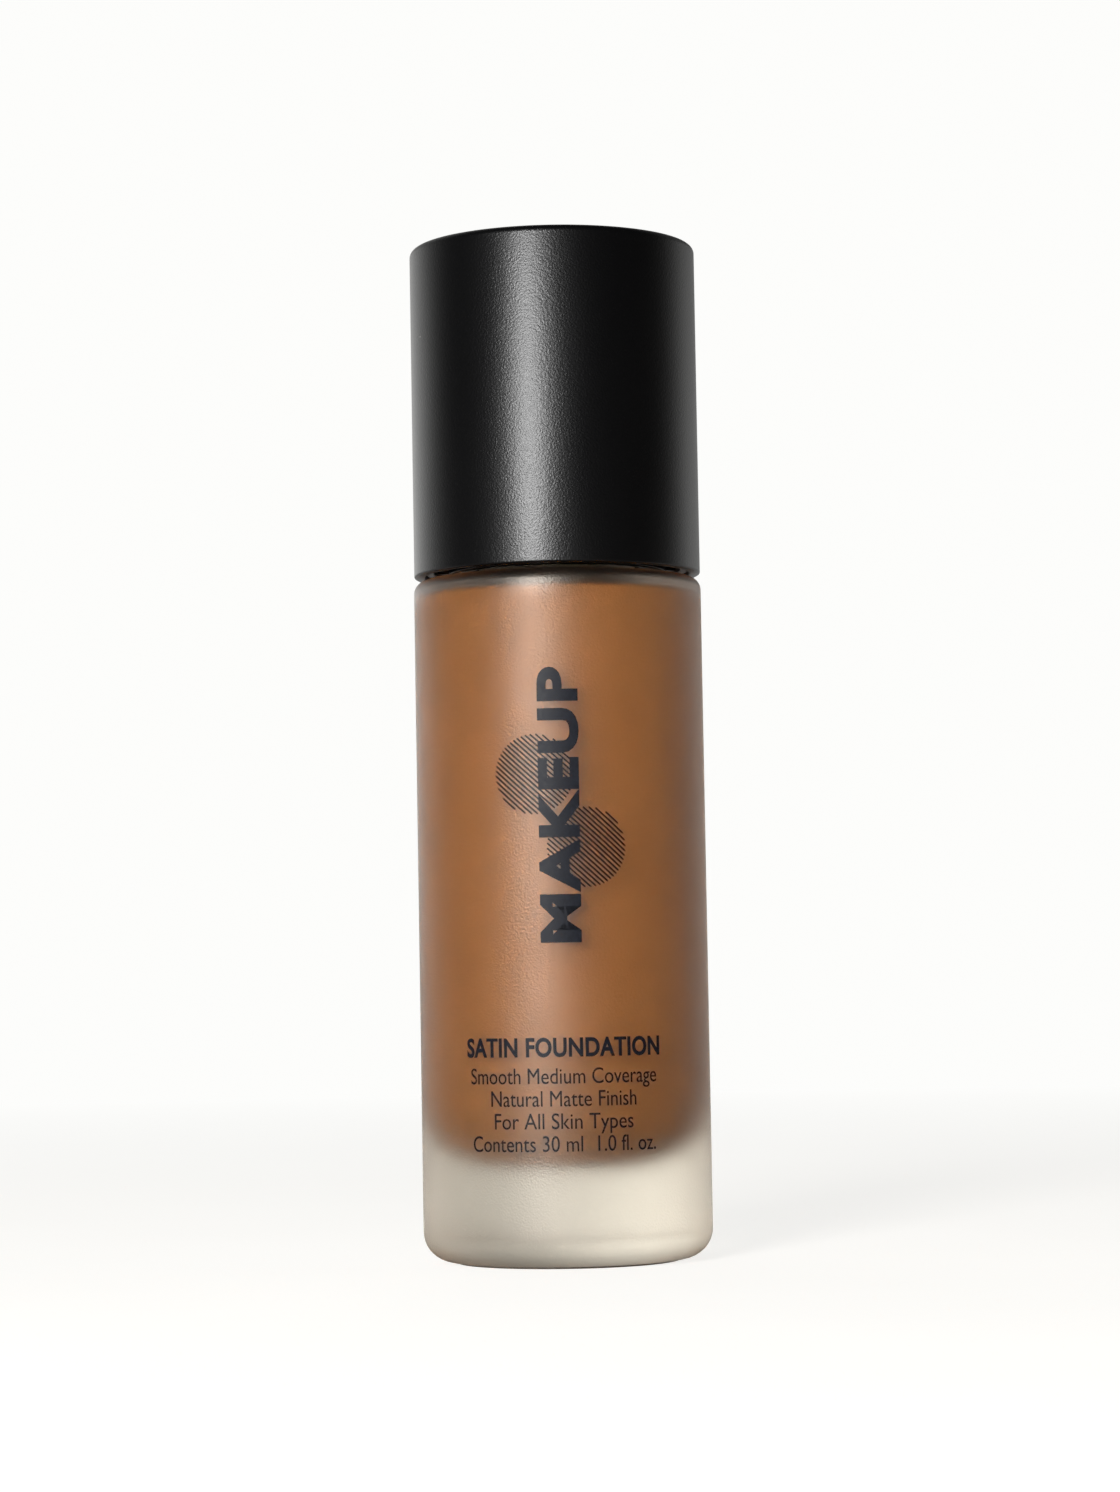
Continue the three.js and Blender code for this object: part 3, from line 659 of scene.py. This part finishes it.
def actuator_button():
    """A thin cup with a dished top and a slot for the spout."""
    bottom = low("actuator_button").z
    inner = BUTTON_RADIUS - 1.0 * MM
    under = BUTTON_TOP - 1.3 * MM
    corners = [
        (0, under, 0),
        (inner, under, 0.3 * MM),
        (inner, bottom, 0.15 * MM),
        (BUTTON_RADIUS, bottom, 0.15 * MM),
        (BUTTON_RADIUS, BUTTON_TOP, 0.8 * MM),
        (BUTTON_RADIUS * 0.78, BUTTON_TOP, 2.0 * MM),
        (BUTTON_RADIUS * 0.45, BUTTON_TOP - 0.3 * MM, 8.0 * MM),
        (0, BUTTON_TOP - 0.42 * MM, 0),
    ]
    cup = turned(rounded(corners))
    slot = bmesh.new()
    half = 2.2 * MM  # half the slot's width
    arch_steps = 16
    angles = [math.pi * k / arch_steps for k in range(arch_steps + 1)]
    arch = [(half * math.cos(a), SPOUT_MIDDLE + half * math.sin(a)) for a in angles]
    below = bottom - 1 * MM
    outline = arch + [(-half, below), (half, below)]
    near = [slot.verts.new((x, -BUTTON_RADIUS * 0.5, z)) for x, z in outline]
    far = [slot.verts.new((x, -BUTTON_RADIUS * 1.5, z)) for x, z in outline]
    slot.faces.new(near)
    slot.faces.new(far)
    for k in range(len(outline)):
        following = (k + 1) % len(outline)
        slot.faces.new((near[k], near[following], far[following], far[k]))
    bmesh.ops.recalc_face_normals(slot, faces=slot.faces)
    data = combined("pump_button", cup, slot, "DIFFERENCE")
    made("pump_button", data, "actuator", "actuator_button", material=SATIN, slot="satin_black")


def nozzle():
    """The spout with its core, and the small insert in its end."""
    insert_radius = high("nozzle_insert").x
    insert_back = -high("nozzle_insert").y
    insert_front = -low("nozzle_insert").y
    socket_radius = insert_radius + 0.05 * MM
    socket_back = insert_back - 0.05 * MM
    channel = 0.9 * MM
    back = 1 * MM
    root = 2.0 * MM
    spout = rounded(
        [
            (channel, back, 0),
            (root, back, 0),
            (root, SPOUT_REACH - 3 * MM, 2.0 * MM),
            (1.65 * MM, SPOUT_REACH, 0.16 * MM),
            (socket_radius, SPOUT_REACH, 0.05 * MM),
            (socket_radius, socket_back, 0),
            (channel, socket_back, 0),
        ],
        closed=True,
    )
    mesh = turned(spout, segments=64, axis="-Y")
    mesh.transform(Matrix.Translation((0, 0, SPOUT_MIDDLE)))
    disc_radius = high("nozzle_core").x
    disc_top = high("nozzle_core").z
    socket = high("stem").z + 0.05 * MM
    column = 3.35 * MM
    bore = 2.15 * MM
    core = turned(
        rounded(
            [
                (0, socket, 0),
                (bore, socket, 0),
                (bore, low("nozzle_core").z, 0.1 * MM),
                (column, low("nozzle_core").z, 0.3 * MM),
                (column, disc_top - 1.1 * MM, 0.3 * MM),
                (disc_radius, disc_top - 1.1 * MM, 0.1 * MM),
                (disc_radius, disc_top, 0.1 * MM),
                (0, disc_top, 0),
            ]
        ),
        segments=96,
    )
    data = as_data("core_work", core)
    mesh.from_mesh(data)
    bpy.data.meshes.remove(data)
    spout_data = as_data("pump_spout", mesh)
    made("pump_spout", spout_data, "actuator", "nozzle_core", material=SATIN, slot="satin_black")
    tip = rounded(
        [
            (0.6 * MM, insert_back, 0),
            (insert_radius, insert_back, 0),
            (insert_radius, insert_front, 0.12 * MM),
            (0.6 * MM, insert_front, 0.15 * MM),
        ],
        closed=True,
    )
    insert = turned(tip, segments=64, axis="-Y")
    insert.transform(Matrix.Translation((0, 0, SPOUT_MIDDLE)))
    tip_data = as_data("spout_tip", insert)
    made("spout_tip", tip_data, "actuator", "nozzle_insert", material=GLOSS, slot="satin_black")


def return_spring():
    """Round wire with a closed turn at each end."""
    wire = 0.6 * MM
    open_turns = 6.5
    steps_a_turn = 48
    wire_sides = 14
    foot = low("return_spring").z
    length = high("return_spring").z - foot
    radius = high("return_spring").x - wire / 2
    closed_pitch = 1.05 * wire
    rise = length - wire - 2 * closed_pitch
    sections = []
    for k in range(round((open_turns + 2) * steps_a_turn) + 1):
        turn = k / steps_a_turn
        opened = min(max(turn - 1, 0), open_turns)
        z = foot + wire / 2 + closed_pitch * (turn - opened) + rise * opened / open_turns
        angle = 2 * math.pi * turn
        section = []
        for side in range(wire_sides):
            a = 2 * math.pi * side / wire_sides
            r = radius + wire / 2 * math.cos(a)
            section.append((r * math.cos(angle), r * math.sin(angle), z + wire / 2 * math.sin(a)))
        sections.append(section)
    data = as_data("pump_spring", skinned(sections))
    spring = made("pump_spring", data, "pump", "return_spring", material=STEEL, slot="spring_steel", sharp=60)
    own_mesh(spring)


# ---------------------------------------------------------------- overcap


def cap_shell():
    bore = CAP_RADIUS - 1.2 * MM
    under = CAP_TOP - 2.15 * MM
    corners = [
        (0, under, 0),
        (bore, under, 0.3 * MM),
        (bore, CAP_RIM, 0.15 * MM),
        (CAP_RADIUS, CAP_RIM, 0.22 * MM),
        (CAP_RADIUS, CAP_TOP, 0.75 * MM),
        (0, CAP_TOP, 0),
    ]
    data = as_data("overcap_shell", turned(rounded(corners, steps=10), segments=192))
    made("overcap_shell", data, "overcap", "cap_shell", material=CAP, slot="cap_black")


def cap_liner():
    """The inner cup with its grip ribs."""
    bore = LINER_RADIUS - 0.9 * MM
    rim = low("cap_liner").z
    top = high("cap_liner").z
    corners = [
        (0, top - 0.9 * MM, 0),
        (bore, top - 0.9 * MM, 0.5 * MM),
        (bore, rim, 0.2 * MM),
        (LINER_RADIUS, rim, 0.2 * MM),
        (LINER_RADIUS, top, 0.3 * MM),
        (0, top, 0),
    ]
    mesh = turned(rounded(corners))
    inner = SLEEVE_RADIUS + 0.1 * MM
    outer = bore + 0.4 * MM  # sunk into the liner's wall
    ribs = 12
    rib_width = 0.8 * MM
    rib_length = 15.2 * MM
    rib_middle = rim + 8.0 * MM
    for i in range(ribs):
        turn = Matrix.Rotation(2 * math.pi * (i + 0.5) / ribs, 4, "Z")
        place = Matrix.Translation(((inner + outer) / 2, 0, rib_middle))
        size = Matrix.Diagonal((outer - inner, rib_width, rib_length, 1))
        bmesh.ops.create_cube(mesh, size=1, matrix=turn @ place @ size)
    data = as_data("overcap_liner", mesh)
    made("overcap_liner", data, "overcap", "cap_liner", material=SATIN, slot="satin_black")


# ---------------------------------------------------------------- inner pieces that keep their CAD shape


def dress_inner_nodes():
    finishes = {
        NATURAL: ("dip_tube", "pump_housing", "ball_retainer", "valve_poppet", "stem", "stem_guide"),
        SEAL: ("neck_gasket", "piston"),
        STEEL: ("inlet_ball",),
        SATIN: ("screw_closure",),
    }
    for material, nodes in finishes.items():
        for name in nodes:
            data = frame["nodes"][name].data
            data.materials.clear()
            data.materials.append(material)
            for polygon in data.polygons:
                polygon.use_smooth = True
            data.set_sharp_from_angle(angle=math.radians(32))


# ---------------------------------------------------------------- stage, light and camera

ROOM_COLOUR = (0.98, 0.98, 0.965)
CAMERA_LENS = 92.56  # mm, on a sensor 36 mm wide
CAMERA_PLACE = (0, -426.8 * MM, 31.5 * MM)
CAMERA_PITCH = math.radians(3.42)  # upwards
CAMERA_ROLL = math.radians(0.99)
LAMP_DISTANCE = 0.7


def floor():
    mesh = bmesh.new()
    bmesh.ops.create_circle(mesh, cap_ends=True, segments=96, radius=6.0)
    data = as_data("floor", mesh)
    ground = bpy.data.objects.new("floor", data)
    bpy.context.scene.collection.objects.link(ground)
    nodes = Nodes("pale_paper")
    nodes.colours(nodes.noise(40 * MM), (0.28, 0.27, 0.25), (0.30, 0.29, 0.27))
    nodes.set(Roughness=0.9, Specular_IOR_Level=0.1, Emission_Color=(*ROOM_COLOUR, 1))
    # The camera sees the paper burnt out to white, and far away it turns into the pale room. Behind the
    # bottle the paper also glows, which lights the glass base.
    seen = nodes.add("ShaderNodeLightPath").outputs["Is Camera Ray"]
    parts = nodes.add("ShaderNodeSeparateXYZ")
    nodes.link(nodes.place, parts.inputs["Vector"])
    burnt_out = nodes.spread(seen, 0.0, 0.82, 0, 1)
    behind = nodes.spread(parts.outputs["Y"], 0.0, 0.5, 0.0, 0.03)
    nodes.link(maths(nodes.tree, "MAXIMUM", burnt_out, behind), nodes.shader.inputs["Emission Strength"])
    distance = nodes.add("ShaderNodeVectorMath", operation="LENGTH")
    nodes.link(nodes.place, distance.inputs[0])
    room = nodes.add("ShaderNodeEmission")
    room.inputs["Color"].default_value = (*ROOM_COLOUR, 1)
    far = nodes.spread(distance.outputs["Value"], 0.0, 1.0, 0.15, 0.6)
    mix = nodes.add("ShaderNodeMixShader")
    nodes.link(maths(nodes.tree, "MULTIPLY", far, seen), mix.inputs["Fac"])
    nodes.link(nodes.shader.outputs["BSDF"], mix.inputs[1])
    nodes.link(room.outputs["Emission"], mix.inputs[2])
    nodes.link(mix.outputs["Shader"], nodes.tree.nodes["Material Output"].inputs["Surface"])
    data.materials.append(nodes.material)


def lamp(name, direction, size, power, colour=(1, 1, 1)):
    """A round soft light that faces the middle of the bottle."""
    light = bpy.data.lights.new(name, "AREA")
    light.shape = "DISK"
    light.size = size
    light.energy = power
    light.color = colour
    holder = bpy.data.objects.new(name, light)
    middle = Vector((0, 0, CAP_TOP / 2))
    holder.location = middle + Vector(direction).normalized() * LAMP_DISTANCE
    holder.rotation_euler = (middle - holder.location).to_track_quat("-Z", "Y").to_euler()
    bpy.context.scene.collection.objects.link(holder)
    return holder


def world():
    """A pale room: bright behind the bottle, most on the left, dark in front, and plain to the camera."""
    room = bpy.data.worlds.new("room")
    bpy.context.scene.world = room
    room.use_nodes = True
    tree = room.node_tree
    shader = tree.nodes["Background"]
    place = tree.nodes.new("ShaderNodeTexCoord")
    parts = tree.nodes.new("ShaderNodeSeparateXYZ")
    tree.links.new(place.outputs["Generated"], parts.inputs["Vector"])

    def ramp(axis, start, end, first, second):
        """The room's light along an axis: first up to start, second from end on."""
        node = tree.nodes.new("ShaderNodeMapRange")
        node.interpolation_type = "SMOOTHSTEP"
        node.inputs["From Min"].default_value = start
        node.inputs["From Max"].default_value = end
        node.inputs["To Min"].default_value = first
        node.inputs["To Max"].default_value = second
        tree.links.new(parts.outputs[axis], node.inputs["Value"])
        return node.outputs["Result"]

    across = maths(tree, "ADD", ramp("X", -0.55, 0.3, 2.1, 0.7), ramp("X", 0.45, 0.9, 0.0, 0.9))
    behind = maths(tree, "MULTIPLY", ramp("Y", 0.1, 0.75, 0.012, 1.0), ramp("Z", 0.0, 0.4, 1.0, 0.3))
    light = maths(tree, "MULTIPLY", across, behind)
    path = tree.nodes.new("ShaderNodeLightPath")
    strength = tree.nodes.new("ShaderNodeMix")
    tree.links.new(path.outputs["Is Camera Ray"], strength.inputs["Factor"])
    tree.links.new(light, strength.inputs["A"])
    strength.inputs["B"].default_value = 1.0
    tree.links.new(strength.outputs["Result"], shader.inputs["Strength"])
    shader.inputs["Color"].default_value = (*ROOM_COLOUR, 1)


def camera():
    """The photograph's view: from just above the base, looking slightly up, a little tilted."""
    data = bpy.data.cameras.new("camera")
    data.sensor_width = 36
    data.lens = CAMERA_LENS
    data.clip_start = 0.01
    data.clip_end = 30
    holder = bpy.data.objects.new("camera", data)
    pitch = Matrix.Rotation(CAMERA_PITCH, 4, "X")
    roll = Matrix.Rotation(CAMERA_ROLL, 4, "Y")
    level = Matrix.Rotation(math.pi / 2, 4, "X")
    holder.matrix_world = Matrix.Translation(CAMERA_PLACE) @ pitch @ roll @ level
    bpy.context.scene.collection.objects.link(holder)
    bpy.context.scene.camera = holder


camera()
world()
floor()
lamp("key", (-0.36, -1, 0.18), size=0.22, power=8)
fill = lamp("fill", (1, -0.1, 0.1), size=0.8, power=1.3, colour=(1, 0.74, 0.5))
fill.visible_glossy = False  # it would show as a grey strip on the glass
bpy.context.scene.view_settings.view_transform = "Standard"

glass_bottle()
liquid_fill()
base_label()
vertical_word()
text_block()
hatched_motif()
collar_sleeve()
actuator_button()
nozzle()
return_spring()
cap_shell()
cap_liner()
dress_inner_nodes()
